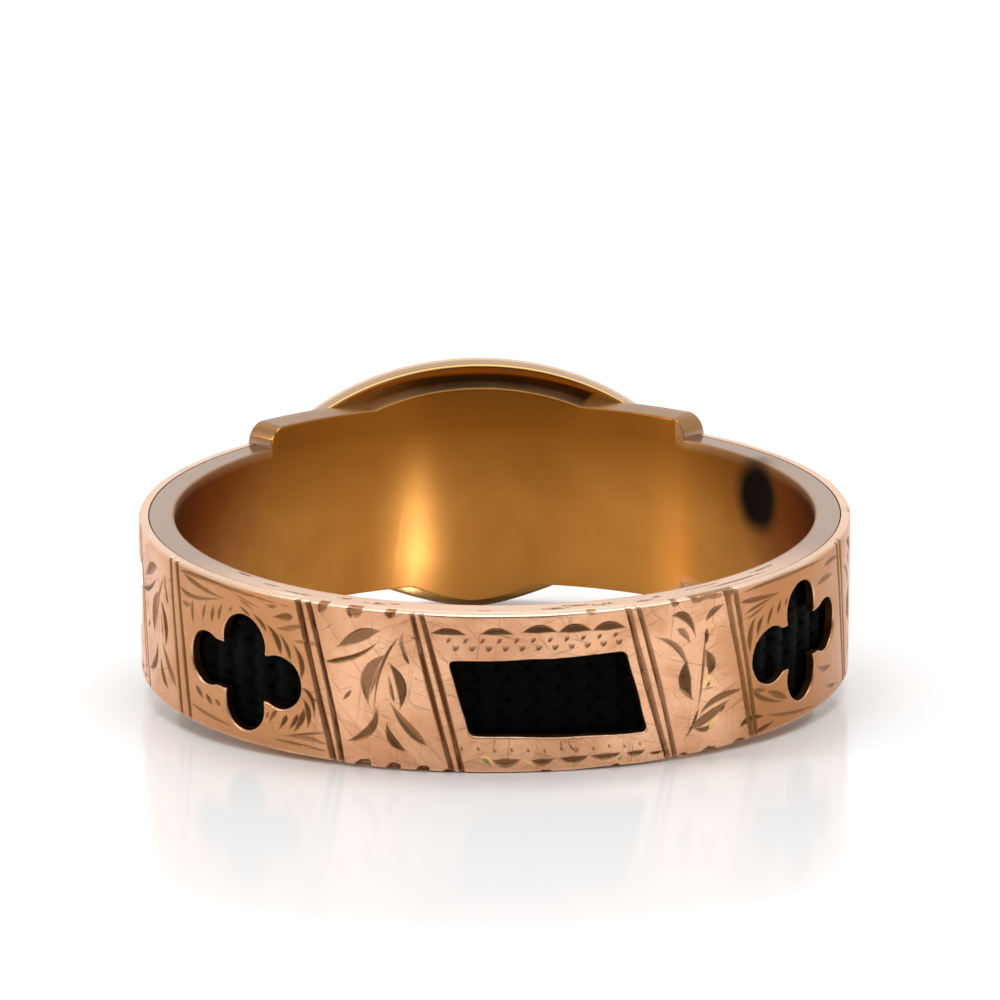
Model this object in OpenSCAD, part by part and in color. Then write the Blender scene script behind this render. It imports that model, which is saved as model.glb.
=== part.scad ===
// Gold mourning ring with dark hair under a pierced and engraved band, lying on its side.
// All sizes are in millimetres. The ring is drawn about its own upright axis, with its head
// towards +Y and the back of the band towards -Y, and is then laid down as it rests.

/* [Band] */
// Outside diameter of the band
band_outer_d = 20.7; // [19:0.1:23]
// Thickness of the band from the finger hole to the engraved face
band_wall = 1.04; // [1:0.02:1.3]
// Width of the band along the finger
band_width = 4.56; // [4.4:0.02:5]
// Thickness of the pierced outer shell
shell_wall = 0.28; // [0.2:0.02:0.34]
// Thickness of the inner sleeve under the hair
sleeve_wall = 0.36; // [0.3:0.02:0.4]
// Width of the rim that closes the hair channel at each side of the band
rim_width = 0.3; // [0.2:0.02:0.4]
// Clearance left between fitted pieces
fit_gap = 0.03; // [0.02:0.01:0.04]

/* [Windows] */
// Length of the slanted oblong windows round the band
oblong_length = 5; // [4.4:0.1:5.2]
// Height of the slanted oblong windows
oblong_height = 2.26; // [1.8:0.02:2.6]
// Corner radius of the slanted oblong windows
oblong_corner_r = 0.17; // [0.1:0.01:0.3]
// Radius of each rounded lobe of the quatrefoil windows
lobe_r = 0.78; // [0.6:0.02:0.84]
// Distance of the two side lobes from the middle of a quatrefoil
lobe_reach_side = 1.46; // [1.2:0.02:1.6]
// Distance of the top and bottom lobes from the middle of a quatrefoil
lobe_reach_up = 0.94; // [0.8:0.02:1.1]

/* [Engraved borders] */
// Sideways lean of every border line and oblong window per millimetre of height
border_lean = 0.25; // [0:0.01:0.4]
// Width of one border groove
groove_width = 0.13; // [0.08:0.01:0.2]
// Depth of one border groove
groove_depth = 0.08; // [0.04:0.01:0.14]
// Distance between the two grooves of a border
groove_pitch = 0.31; // [0.24:0.01:0.5]

/* [Head] */
// Half of the angle that the solid seat of the shield takes up round the ring, in degrees
seat_half_angle = 42; // [42:0.5:47]
// Width of the seat along the finger
seat_width = 5.76; // [5.4:0.02:6.2]
// Length of the shield across the finger
shield_length = 13.64; // [13:0.02:13.64]
// Height of the shield's arched top above mid width
shield_rise = 3.88; // [3.6:0.02:4.2]
// Depth of the shield's foot below mid width
shield_drop = 3.9; // [3.6:0.02:4.2]
// Half width of the shield's round foot, where its sides bend towards it
foot_half_width = 2; // [1.4:0.1:3]
// Height of the shield's face above the face of the band
shield_wall = 0.95; // [0.7:0.05:1.2]
// Depth that the shield is let into its seat
shield_let_in = 0.1; // [0.05:0.01:0.2]
// Turn of the shield on the finger, in degrees
shield_turn = 1; // [0:0.1:4]

/* [Rest] */
// Direction in which the resting ring leans, turned from the head, in degrees
rest_turn = -0.9; // [-3:0.1:3]

/* [Hidden] */
$fn = 180;

// Angles round the ring are counted as seen from above, with the back at 270 and the head at 90.
head_angle = 90;
// The engraved middle of the back is turned a little past the point opposite the head.
back_angle = 274.1;
// Windows: turn from the middle of the back, height above mid width, and kind of outline
OBLONG = 0;
QUATREFOIL = 1;
WINDOWS = [
    [-103, 0, OBLONG],
    [-51.3, -0.2, QUATREFOIL],
    [0.3, -0.16, OBLONG],
    [49.2, 0.04, QUATREFOIL],
    [101.5, 0, OBLONG]
];
// Double border lines: turn from the middle of the back
BORDERS = [-120, -86, -68, -35.8, -17, 17, 34.4, 66.5, 84.5, 118.5];

outer_r = band_outer_d / 2;
bore_r = outer_r - band_wall;
half_width = band_width / 2;
half_seat = seat_width / 2;
half_shield = shield_length / 2;
shell_inner_r = outer_r - shell_wall;
sleeve_outer_r = shell_inner_r - fit_gap;
channel_floor_r = bore_r + sleeve_wall;
channel_half_width = half_width - rim_width;
shield_outer_r = outer_r + shield_wall;
shield_root_r = outer_r - shield_let_in;
// The shell ends a fit gap short of the seat, and the hair a little more.
shell_end_angle = seat_half_angle + asin(fit_gap / outer_r);
hair_end_angle = seat_half_angle + 3 * asin(fit_gap / outer_r);
// Cutters run past the faces that they cut by this much.
over = 1;
// Reach of a radial cutter, from the axis to well outside the ring
far_r = outer_r + 4;
// Number of straight sides that the shield's top and each of its lower sides are drawn with
arch_sides = 40;
side_sides = 16;
// Pull on the shield's side below its widest place: share of its half length, share of its drop
side_pull = [0.91, 0.36];

// Lying down, the ring touches the floor with the rim of its back and with the inner edge of the
// shield's foot, so those two points set its lean, its height and its middle.
rest_tilt = atan((shield_drop - half_width) / (outer_r + shield_root_r));
rest_lift = half_width * cos(rest_tilt) + outer_r * sin(rest_tilt);
rest_shift = -(shield_wall * cos(rest_tilt) + (shield_drop - half_width) * sin(rest_tilt)) / 2;

// Ring of a rectangular section round the upright axis
module tube(inner_r, outside_r, half_height) {
    difference() {
        cylinder(h = 2 * half_height, r = outside_r, center = true);
        cylinder(h = 2 * half_height + 2 * over, r = inner_r, center = true);
    }
}

// Rectangle in the section plane: distance from the axis across, height up
module wall_section(inner_r, outside_r, half_height) {
    translate([inner_r, -half_height])
        square([outside_r - inner_r, 2 * half_height]);
}

// Carries a section round the back, to end at an angle each side of the head
module round_the_back(end_angle) {
    rotate([0, 0, head_angle + end_angle])
        rotate_extrude(angle = 360 - 2 * end_angle)
            children();
}

// Stands a flat outline up facing outwards at an angle, and carries it from the axis outwards
module outwards(angle) {
    rotate([0, 0, angle + 90])
        rotate([90, 0, 0])
            linear_extrude(height = far_r)
                children();
}

// Point of a slanted oblong, as shares of its half length and half height
function slanted(share_x, share_y, half_x, half_y) =
    [share_x * half_x - border_lean * share_y * half_y, share_y * half_y];

// Strip that lies against one side of an outline and stands out from it by r
module side_strip(from, to, r) {
    along = (to - from) / norm(to - from);
    outward = [along[1], -along[0]];
    polygon([from, to, to + r * outward, from + r * outward]);
}

// Slanted oblong with round corners
module oblong_outline() {
    half_x = oblong_length / 2 - oblong_corner_r;
    half_y = oblong_height / 2 - oblong_corner_r;
    corners = [for (c = [[-1, -1], [1, -1], [1, 1], [-1, 1]]) slanted(c[0], c[1], half_x, half_y)];
    polygon(corners);
    for (i = [0:3]) {
        side_strip(corners[i], corners[(i + 1) % 4], oblong_corner_r);
        translate(corners[i]) circle(r = oblong_corner_r, $fn = 32);
    }
}

// Quatrefoil: a bar with round ends each way
module quatrefoil_outline() {
    bar_share = 0.85;
    for (side = [-1, 1]) {
        translate([side * lobe_reach_side, 0]) circle(r = lobe_r, $fn = 64);
        translate([0, side * lobe_reach_up]) circle(r = lobe_r, $fn = 64);
    }
    square([2 * lobe_reach_side, 2 * bar_share * lobe_r], center = true);
    square([2 * bar_share * lobe_r, 2 * lobe_reach_up], center = true);
}

module window_outline(kind) {
    if (kind == OBLONG) oblong_outline();
    else quatrefoil_outline();
}

// Pair of leaning grooves, longer than the band is wide
module border_outline() {
    reach = half_width + over;
    half_groove = groove_width / 2;
    for (side = [-1, 1]) {
        foot = [side * groove_pitch / 2 + border_lean * reach, -reach];
        head = [side * groove_pitch / 2 - border_lean * reach, reach];
        polygon([foot - [half_groove, 0], foot + [half_groove, 0], head + [half_groove, 0], head - [half_groove, 0]]);
    }
}

// Point of a cubic curve at a share of its way from a to d, with b and c as its pulls
function curve_point(a, b, c, d, s) =
    pow(1 - s, 3) * a + 3 * s * pow(1 - s, 2) * b + 3 * s * s * (1 - s) * c + pow(s, 3) * d;

// Point of the shield's right lower side at a share of its way from mid width to the foot
function side_point(s) = curve_point(
    [half_shield, 0],
    [side_pull[0] * half_shield, -side_pull[1] * shield_drop],
    [foot_half_width, -shield_drop],
    [0, -shield_drop],
    s
);

// Outline of the shield: half an oval on top, and two sides drawn in to a round foot
module shield_outline() {
    arch = [for (i = [0:arch_sides]) [
        half_shield * cos(180 * i / arch_sides),
        shield_rise * sin(180 * i / arch_sides)
    ]];
    side = [for (i = [1:side_sides]) side_point(i / side_sides)];
    left_side = [for (p = side) [-p[0], p[1]]];
    right_side = [for (i = [side_sides - 2:-1:0]) side[i]];
    rotate(-shield_turn) polygon(concat(arch, left_side, right_side));
}

// Lays the upright ring down on its side
module at_rest() {
    translate([0, rest_shift, rest_lift])
        rotate([0, 0, rest_turn])
            rotate([rest_tilt, 0, 0])
                rotate([0, 0, -rest_turn])
                    children();
}

// Section of what is cut away round the sleeve: above it, below it, outside it, and the channel
// for the hair between its two rims
module cut_section() {
    inner = bore_r - over;
    outside = outer_r + over;
    reach = half_seat + over;
    polygon([
        [inner, half_width], [sleeve_outer_r, half_width],
        [sleeve_outer_r, channel_half_width], [channel_floor_r, channel_half_width],
        [channel_floor_r, -channel_half_width], [sleeve_outer_r, -channel_half_width],
        [sleeve_outer_r, -half_width], [inner, -half_width],
        [inner, -reach], [outside, -reach], [outside, reach], [inner, reach]
    ]);
}

module ring_body() {
    color([0.78, 0.55, 0.36]) at_rest() {
        // seat of the shield, and the sleeve that is left where the rest is cut down
        difference() {
            tube(bore_r, outer_r, half_seat);
            round_the_back(seat_half_angle) cut_section();
        }
        // shield, bent to the band's curve
        intersection() {
            outwards(head_angle) shield_outline();
            tube(shield_root_r, shield_outer_r, shield_drop + over);
        }
    }
}

module pierced_shell() {
    color([0.86, 0.62, 0.45]) at_rest() difference() {
        round_the_back(shell_end_angle) wall_section(shell_inner_r, outer_r, half_width);
        for (w = WINDOWS)
            outwards(back_angle + w[0]) translate([0, w[1]]) window_outline(w[2]);
        intersection() {
            union() for (turn = BORDERS) outwards(back_angle + turn) border_outline();
            tube(outer_r - groove_depth, far_r, half_width + over);
        }
    }
}

module hair_plait() {
    color([0.06, 0.05, 0.04]) at_rest()
        round_the_back(hair_end_angle)
            wall_section(
                channel_floor_r + fit_gap,
                shell_inner_r - fit_gap,
                channel_half_width - fit_gap
            );
}

ring_body();
pierced_shell();
hair_plait();
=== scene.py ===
import math
import bpy
import numpy as np
from mathutils import Matrix, Vector


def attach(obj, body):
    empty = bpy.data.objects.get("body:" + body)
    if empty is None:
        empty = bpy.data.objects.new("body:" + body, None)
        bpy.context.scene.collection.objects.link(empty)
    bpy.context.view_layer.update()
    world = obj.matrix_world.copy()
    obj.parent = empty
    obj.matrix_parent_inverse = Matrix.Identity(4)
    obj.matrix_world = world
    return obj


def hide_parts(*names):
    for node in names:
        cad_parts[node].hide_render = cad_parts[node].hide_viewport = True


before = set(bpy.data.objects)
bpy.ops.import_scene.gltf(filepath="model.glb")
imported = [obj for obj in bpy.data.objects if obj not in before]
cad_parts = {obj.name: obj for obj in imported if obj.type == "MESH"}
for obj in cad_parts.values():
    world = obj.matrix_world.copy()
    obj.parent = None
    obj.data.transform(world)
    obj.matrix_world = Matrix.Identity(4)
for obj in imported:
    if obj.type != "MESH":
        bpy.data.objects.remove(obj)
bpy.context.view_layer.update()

print("frame loaded")

# A hair mourning ring lying on its side, seen from the back of its band.
# Shapes are worked out in millimetres about the ring's own upright axis, with the head towards +Y,
# and are laid down at the end as the CAD part is.
# "along" is a distance round the outer face from the middle of the view, positive to the right,
# and "height" a distance above the middle of the band's width.

band = {
    "outerRadius": 10.35,
    "boreRadius": 9.31,
    "halfWidth": 2.28,
    "shellInner": 10.07,
    "sleeveOuter": 10.04,
    "channelFloor": 9.67,
    "channelHalf": 1.98,
    "fitGap": 0.03,
    "viewTurn": 4.0,        # the head stands this many degrees left of the far side of the view
    "edgeRound": 0.07,      # worn rounding of the outer edges
    "windowRound": 0.05,    # worn rounding of the window edges
    "unevenness": 0.012,    # height of the slow waves that wear leaves
}
head = {
    "seatHalfAngle": 42.0,
    "seatHalf": 2.88,       # half the width of the seat along the finger
    "seatCorner": 0.5,      # rounding of the seat's four corners
    "seatInset": 0.50,      # the seat follows the shield's outline, drawn in by this much
    "length": 13.64,        # the shield across the finger, then above and below mid width
    "rise": 3.88,
    "drop": 3.9,
    "footHalf": 2.0,
    "sidePull": (0.91, 0.36),
    "faceRadius": 11.3,
    "rootRadius": 10.25,
    "turn": 1.0,
    "backEdge": 0.10,       # rounding of the edges of the shield's back and face
    "faceEdge": 0.22,
}
restTurn = math.radians(-0.9)
footStep = head["drop"] - band["halfWidth"]
faceRise = head["faceRadius"] - band["outerRadius"]
restTilt = math.atan(footStep / (band["outerRadius"] + head["rootRadius"]))
restLift = band["halfWidth"] * math.cos(restTilt) + band["outerRadius"] * math.sin(restTilt)
restShift = -(faceRise * math.cos(restTilt) + footStep * math.sin(restTilt)) / 2
layDown = (Matrix.Translation((0, restShift, restLift)) @ Matrix.Rotation(restTurn, 4, "Z")
           @ Matrix.Rotation(restTilt, 4, "X") @ Matrix.Rotation(-restTurn, 4, "Z"))
layDownArray = np.array(layDown)


# Point on the ring: the distance along becomes an angle, and radius and height stay as they are.
def aroundRing(along, height, radius):
    angle = along / band["outerRadius"] - math.pi / 2 - math.radians(band["viewTurn"])
    return np.stack([radius * np.cos(angle), radius * np.sin(angle), height + 0 * angle], -1)


# Place along the outer face of an angle that is counted as in the CAD part, with the head at 90.
def alongAt(degrees):
    return math.radians(degrees - 270 + band["viewTurn"]) * band["outerRadius"]


# Puts a surface of triangles into a mesh, in metres and laid down. Two rows of values are stored on
# its points for the materials: flat = (along, height, radius) in millimetres on the shell,
# (x, height, y) on the sleeve, the seat and the shield, and (onward, across, 0) in strands on the
# hair; and cut = (cut, darkness, wear). A darkness below 0 asks for a painted highlight, full cut and
# darkness on the shell's window walls is painted shade, and the shell's wear carries a painted sheen.
def addPiece(name, points, faces, flat, cut, material, replaced, sharpAngle):
    laid = points @ layDownArray[:3, :3].T + layDownArray[:3, 3]
    mesh = bpy.data.meshes.new(name)
    mesh.vertices.add(len(laid))
    mesh.vertices.foreach_set("co", (laid * 0.001).astype(np.float32).ravel())
    mesh.loops.add(faces.size)
    mesh.loops.foreach_set("vertex_index", faces.astype(np.int32).ravel())
    mesh.polygons.add(len(faces))
    mesh.polygons.foreach_set("loop_start", np.arange(0, faces.size, 3, dtype=np.int32))
    mesh.update(calc_edges=True)
    mesh.validate()
    for label, values in (("flat", flat), ("cut", cut)):
        stored = mesh.attributes.new(label, "FLOAT_VECTOR", "POINT")
        stored.data.foreach_set("vector", values.astype(np.float32).ravel())
    mesh.shade_smooth()
    mesh.set_sharp_from_angle(angle=math.radians(sharpAngle))
    mesh.materials.append(material)
    piece = bpy.data.objects.new(name, mesh)
    bpy.context.scene.collection.objects.link(piece)
    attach(piece, "root")
    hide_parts(replaced)
    print(f"{name}: {len(mesh.polygons)} triangles")


# Smooth unevenness between -1 and 1: a few sine waves that run in seeded directions.
def waves(along, height, length, seed, count=7):
    rng = np.random.default_rng(seed)
    turns = rng.uniform(0, math.pi, count)
    phases = rng.uniform(0, 2 * math.pi, count)
    stretches = rng.uniform(0.7, 1.5, count)
    total = 0 * along
    for turn, phase, stretch in zip(turns, phases, stretches):
        onward = along * math.cos(turn) + height * math.sin(turn)
        total = total + np.sin(2 * math.pi * onward / (length * stretch) + phase)
    return total / count * 1.6


# How far a rounded edge lies below the face, at a distance from the edge: a quarter circle.
def edgeDrop(distance, radius):
    inside = np.clip(1 - distance / radius, 0, 1)
    return radius * (1 - np.sqrt(1 - 0.98 * inside ** 2))


# Corners of a grid of columns by rows as triangles, facing outwards where along runs to the right.
def gridTriangles(columns, rows):
    corner = np.arange((columns + 1) * (rows + 1)).reshape(columns + 1, rows + 1)
    a, b, c, d = (x.ravel() for x in (corner[:-1, :-1], corner[1:, :-1],
                                      corner[1:, 1:], corner[:-1, 1:]))
    return np.concatenate([np.stack([a, b, c], 1), np.stack([a, c, d], 1)])


# Triangles whose three corners are different points.
def unfolded(faces):
    a, b, c = faces.T
    return faces[(a != b) & (b != c) & (c != a)]


# Faces of a closed thin piece, from the triangles of its outer face. Its points come in levels that
# each repeat the outer points: outer face, inner face, then rings that lie in the wall between. The
# inner face is coarser: it keeps the rim's points and one for each block of four by four.
def closeShell(faces, column, row, rows, rings=0):
    count, block = len(column), 4
    edges = np.concatenate([faces[:, [0, 1]], faces[:, [1, 2]], faces[:, [2, 0]]])
    rim = edges[~np.isin(edges @ (count, 1), edges @ (1, count))]
    loose = np.isin(np.arange(count), faces) & ~np.isin(np.arange(count), rim)
    soft = np.flatnonzero(loose)
    blocks = (column // block) * (rows + 1) + row // block
    _, first, which = np.unique(blocks[soft], return_index=True, return_inverse=True)
    inner = np.arange(count)
    inner[soft] = soft[first[which.ravel()]]
    parts = [faces, unfolded(inner[faces][:, ::-1]) + count]
    a, b = rim.T
    levels = np.array([0, *range(2, 2 + rings), 1]) * count
    for upper, lower in zip(levels, levels[1:]):
        parts += [np.stack([b + upper, a + upper, a + lower], 1),
                  np.stack([b + upper, a + lower, b + lower], 1)]
    return np.concatenate(parts)


# Engraving

# Border grooves: start, middle and end as (along, height), then width
grooves = [
    (-11.32, 2.32, -11.1, 0.2, -10.72, -2.32, 0.17),
    (-10.92, 2.32, -10.63, 0.2, -10.22, -2.32, 0.19),
    (-5.77, 2.32, -5.2, 0.0, -4.62, -2.32, 0.20),
    (-5.43, 2.32, -4.83, 0.0, -4.37, -2.32, 0.17),
    (-2.31, 2.32, -1.77, 0.0, -1.17, -2.32, 0.18),
    (-2.05, 2.32, -1.45, 0.0, -0.90, -2.32, 0.18),
    (3.75, 2.32, 4.35, 0.0, 5.02, -2.32, 0.20),
    (4.05, 2.32, 4.70, 0.0, 5.25, -2.32, 0.16),
    (6.95, 2.32, 7.50, 0.0, 8.02, -2.32, 0.18),
    (7.27, 2.32, 7.77, 0.0, 8.20, -2.32, 0.16),
]
# Borders on the side that the photograph doesn't show
for hidden in (-20.21, -14.07, 13.48, 16.73, 22.87):
    grooves += [(hidden + side - 0.57, 2.32, hidden + side, 0.0, hidden + side + 0.57, -2.32, 0.17)
                for side in (-0.155, 0.155)]

# Graver cuts: start, middle and end as (along, height), width, share of the length where it is
# widest, place of the deepest line across it from -1 to 1, depth, and darkness from -1 to 1, where
# below 0 the gold is lightened by a painted highlight
leafCuts = [
    (-3.22, 1.70, -3.84, 1.50, -4.50, 1.10, 0.36, 0.48, -0.5, 0.085, 0.55),
    (-3.25, 1.41, -3.98, 0.88, -4.92, 0.62, 0.17, 0.72, 0.1, 0.06, 0.95),
    (-2.63, 1.63, -3.20, 0.62, -3.40, -0.62, 0.10, 0.35, -0.2, 0.05, 0.75),
    (-3.36, -0.52, -3.52, -1.18, -4.20, -1.60, 0.27, 0.58, 0.3, 0.075, 0.75),
    (-3.04, 1.03, -3.58, 0.40, -3.57, -0.44, 0.37, 0.52, -0.35, 0.08, 0.6),
    (-3.20, 0.75, -3.40, 0.25, -3.52, -0.25, 0.10, 0.5, 0.2, 0.05, 0.4),
    (-2.97, 0.80, -2.62, 0.18, -2.66, -0.52, 0.30, 0.5, 0.4, 0.085, 0.85),
    (-2.98, 0.52, -2.90, 0.0, -2.80, -0.36, 0.11, 0.5, 0.0, 0.05, 0.35),
    (-2.92, -0.36, -2.50, -0.95, -1.90, -1.52, 0.27, 0.70, -0.3, 0.07, 0.5),
    (-3.04, -0.93, -2.90, -1.42, -2.48, -1.73, 0.24, 0.58, 0.25, 0.07, 0.75),
    (-4.08, -0.10, -4.20, -0.26, -4.34, -0.42, 0.12, 0.5, 0.0, 0.04, 0.7),
    (-2.52, 1.72, -2.60, 1.40, -2.42, 1.00, 0.13, 0.6, 0.0, 0.04, 0.25),
    (-2.60, 1.22, -2.48, 1.0, -2.37, 0.80, 0.12, 0.5, 0.0, 0.04, 0.75),
    (-4.92, 1.54, -4.78, 1.64, -4.62, 1.76, 0.03, 0.5, 0.0, 0.02, 0.6),
    (-2.34, 1.60, -2.22, 1.57, -2.10, 1.54, 0.05, 0.3, 0.0, 0.02, 0.8),
]
rightLeafCuts = [
    (5.10, 1.88, 5.58, 1.75, 5.88, 1.16, 0.25, 0.42, 0.35, 0.08, 0.75),
    (5.26, 1.48, 5.52, 1.30, 5.71, 0.98, 0.19, 0.38, -0.1, 0.06, 0.45),
    (4.60, 1.33, 5.26, 0.95, 5.60, 0.32, 0.17, 0.55, -0.2, 0.06, 0.6),
    (5.60, 0.52, 5.54, -0.12, 5.80, -0.66, 0.42, 0.45, 0.2, 0.09, 0.95),
    (5.30, -0.22, 5.56, -0.42, 5.80, -0.62, 0.16, 0.6, 0.0, 0.05, 0.3),
    (6.24, 1.52, 6.44, 1.76, 6.90, 1.93, 0.20, 0.55, 0.2, 0.05, 0.55),
    (6.25, 1.34, 6.27, 1.10, 6.20, 0.84, 0.17, 0.4, 0.0, 0.06, 0.8),
    (6.22, 1.28, 6.13, 0.0, 5.95, -1.10, 0.10, 0.4, -0.1, 0.05, 0.6),
    (6.00, -0.95, 5.82, -1.40, 5.52, -1.83, 0.09, 0.3, 0.0, 0.05, 0.7),
    (6.20, 0.72, 6.42, 0.28, 6.30, -0.06, 0.34, 0.5, 0.4, 0.08, 0.75),
    (6.28, 0.00, 6.27, -0.25, 6.14, -0.50, 0.28, 0.45, 0.5, 0.05, -0.9),
    (6.42, 1.45, 6.44, 1.30, 6.30, 1.16, 0.15, 0.5, 0.0, 0.03, -0.8),
    (6.04, -1.18, 6.62, -0.80, 7.62, -0.72, 0.20, 0.62, 0.2, 0.06, 0.6),
    (5.66, -1.52, 6.32, -1.28, 7.08, -0.92, 0.30, 0.5, 0.2, 0.07, 0.55),
    (5.82, -1.50, 6.25, -1.62, 6.52, -1.42, 0.16, 0.5, 0.0, 0.05, 0.7),
    (6.40, -1.72, 6.50, -1.50, 6.72, -1.28, 0.22, 0.5, 0.3, 0.05, -1.0),
    (6.95, -1.05, 6.86, -1.12, 6.74, -1.24, 0.10, 0.5, 0.0, 0.04, 0.8),
    (6.44, 1.32, 6.75, 1.30, 7.05, 1.20, 0.025, 0.5, 0.0, 0.015, 0.5),
    (5.92, -0.46, 6.35, -0.43, 6.72, -0.49, 0.03, 0.5, 0.0, 0.015, 0.6),
]
leftFoilCuts = [
    (-10.75, 2.05, -9.0, 2.14, -5.72, 2.00, 0.13, 0.25, 0.0, 0.05, 0.5),
    (-10.52, 2.04, -9.65, 1.86, -8.45, 1.77, 0.15, 0.35, 0.2, 0.05, 0.6),
    (-10.75, 1.60, -9.95, 1.48, -8.55, 1.77, 0.14, 0.35, -0.2, 0.05, 0.55),
    (-8.30, 2.06, -7.60, 1.90, -7.05, 1.77, 0.04, 0.5, 0.0, 0.02, 0.6),
    (-7.95, 1.92, -7.60, 1.80, -7.30, 1.66, 0.05, 0.4, 0.0, 0.03, 0.65),
    (-10.62, 1.20, -10.35, 1.16, -10.10, 1.22, 0.16, 0.5, 0.0, 0.03, 0.35),
    (-9.98, 1.40, -10.05, 1.05, -9.98, 0.62, 0.14, 0.5, 0.0, 0.04, 0.5),
    (-9.38, 1.42, -9.46, 1.18, -9.52, 0.88, 0.13, 0.5, 0.0, 0.04, 0.55),
    (-8.97, 1.44, -9.05, 1.22, -9.08, 0.92, 0.15, 0.55, 0.0, 0.04, 0.65),
    (-8.58, 1.60, -8.72, 1.34, -8.76, 1.04, 0.13, 0.5, 0.0, 0.04, 0.6),
    (-8.15, 1.60, -8.24, 1.52, -8.30, 1.46, 0.09, 0.5, 0.0, 0.03, 0.5),
    (-7.90, 1.70, -7.68, 1.60, -7.42, 1.46, 0.09, 0.6, 0.0, 0.04, 0.7),
    (-7.40, 1.58, -7.10, 1.42, -6.84, 1.14, 0.12, 0.7, 0.1, 0.045, 0.75),
    (-6.86, 1.36, -6.52, 1.06, -6.34, 0.58, 0.19, 0.68, 0.2, 0.055, 0.8),
    (-6.42, 1.20, -6.14, 0.84, -6.02, 0.42, 0.13, 0.6, 0.1, 0.045, 0.7),
    (-5.97, 1.00, -5.66, 0.50, -5.68, -0.03, 0.17, 0.62, 0.2, 0.055, 0.8),
    (-6.62, 1.63, -6.25, 1.70, -5.92, 1.74, 0.22, 0.72, 0.0, 0.05, 0.7),
    (-6.52, 1.32, -6.05, 1.40, -5.50, 1.60, 0.15, 0.6, 0.0, 0.04, 0.35),
    (-5.95, 1.06, -5.50, 1.08, -5.02, 1.10, 0.12, 0.55, 0.0, 0.035, 0.2),
    (-6.85, 1.95, -6.65, 1.93, -6.45, 1.97, 0.12, 0.5, 0.0, 0.02, 0.4),
    (-6.50, -1.10, -6.66, -1.26, -6.80, -1.52, 0.14, 0.35, 0.0, 0.04, 0.7),
    (-6.80, -1.18, -6.86, -1.30, -6.90, -1.42, 0.10, 0.5, 0.0, 0.03, 0.45),
    (-6.18, -1.16, -6.26, -1.36, -6.46, -1.64, 0.16, 0.35, 0.0, 0.05, 0.9),
    (-5.80, -1.06, -5.90, -1.30, -6.12, -1.58, 0.14, 0.4, 0.0, 0.05, 0.85),
    (-5.60, -0.88, -5.68, -1.22, -5.94, -1.62, 0.20, 0.45, 0.0, 0.055, 0.85),
    (-5.62, -0.58, -5.44, -0.98, -5.48, -1.44, 0.18, 0.45, 0.1, 0.055, 0.85),
    (-5.68, -0.28, -5.34, -0.52, -5.25, -1.14, 0.13, 0.45, 0.1, 0.05, 0.8),
    (-5.30, -0.50, -5.20, -0.56, -5.05, -0.58, 0.06, 0.5, 0.0, 0.03, 0.6),
    (-6.35, -1.82, -5.55, -1.62, -4.85, -1.46, 0.07, 0.5, 0.0, 0.035, 0.8),
    (-6.30, -1.80, -5.50, -1.72, -4.72, -1.86, 0.13, 0.5, 0.0, 0.035, 0.3),
    (-6.90, -1.97, -5.80, -1.96, -4.60, -2.04, 0.07, 0.5, 0.0, 0.035, 0.7),
    (-9.92, -1.12, -9.76, -1.26, -9.52, -1.44, 0.18, 0.5, 0.0, 0.04, 0.7),
    (-9.44, -1.26, -9.28, -1.38, -9.10, -1.52, 0.17, 0.5, 0.0, 0.04, 0.75),
    (-9.00, -1.32, -8.86, -1.38, -8.72, -1.46, 0.13, 0.5, 0.0, 0.03, 0.5),
    (-10.35, -1.70, -9.30, -1.86, -8.10, -1.94, 0.11, 0.5, 0.0, 0.03, 0.4),
]
rightFoilCuts = [
    (7.50, 2.08, 9.40, 2.22, 11.9, 2.08, 0.13, 0.45, 0.0, 0.045, 0.5),
    (7.45, 1.84, 8.25, 1.80, 9.25, 1.76, 0.16, 0.35, 0.1, 0.045, 0.55),
    (7.62, 1.44, 8.20, 1.60, 8.95, 1.72, 0.08, 0.4, 0.0, 0.035, 0.65),
    (7.70, 1.28, 8.15, 1.42, 8.60, 1.62, 0.06, 0.4, 0.0, 0.03, 0.65),
    (8.10, 1.30, 7.90, 0.85, 7.90, 0.24, 0.20, 0.55, 0.0, 0.05, 0.65),
    (8.45, 1.26, 8.26, 1.02, 8.20, 0.68, 0.16, 0.5, 0.0, 0.045, 0.7),
    (8.88, 1.46, 8.70, 1.18, 8.62, 0.88, 0.13, 0.45, 0.0, 0.045, 0.6),
    (9.22, 1.56, 9.12, 1.34, 9.05, 1.14, 0.13, 0.5, 0.0, 0.04, 0.55),
    (9.55, 1.55, 9.46, 1.42, 9.42, 1.28, 0.10, 0.5, 0.0, 0.03, 0.4),
    (8.04, -0.82, 8.45, -1.20, 9.50, -1.55, 0.15, 0.35, 0.0, 0.045, 0.65),
    (8.60, -1.02, 9.10, -1.24, 9.62, -1.50, 0.20, 0.55, 0.0, 0.045, 0.6),
    (8.05, -0.82, 8.30, -0.92, 8.60, -0.96, 0.12, 0.5, 0.0, 0.03, 0.5),
    (7.50, -1.84, 7.90, -1.68, 8.52, -1.74, 0.20, 0.45, 0.0, 0.055, 0.95),
    (8.12, -2.14, 8.50, -2.08, 9.00, -1.98, 0.14, 0.35, 0.0, 0.045, 0.8),
    (8.60, -1.72, 9.80, -1.98, 11.4, -2.14, 0.11, 0.4, 0.0, 0.035, 0.45),
    (11.20, 1.42, 11.70, 1.52, 12.4, 1.44, 0.22, 0.5, 0.0, 0.04, 0.45),
    (11.60, 1.86, 12.2, 1.92, 12.9, 1.84, 0.15, 0.5, 0.0, 0.04, 0.45),
    (11.30, -1.02, 11.8, -1.22, 12.4, -1.24, 0.18, 0.5, 0.0, 0.04, 0.45),
    (12.00, -1.80, 12.4, -1.92, 12.9, -1.98, 0.14, 0.5, 0.0, 0.04, 0.5),
]

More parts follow.
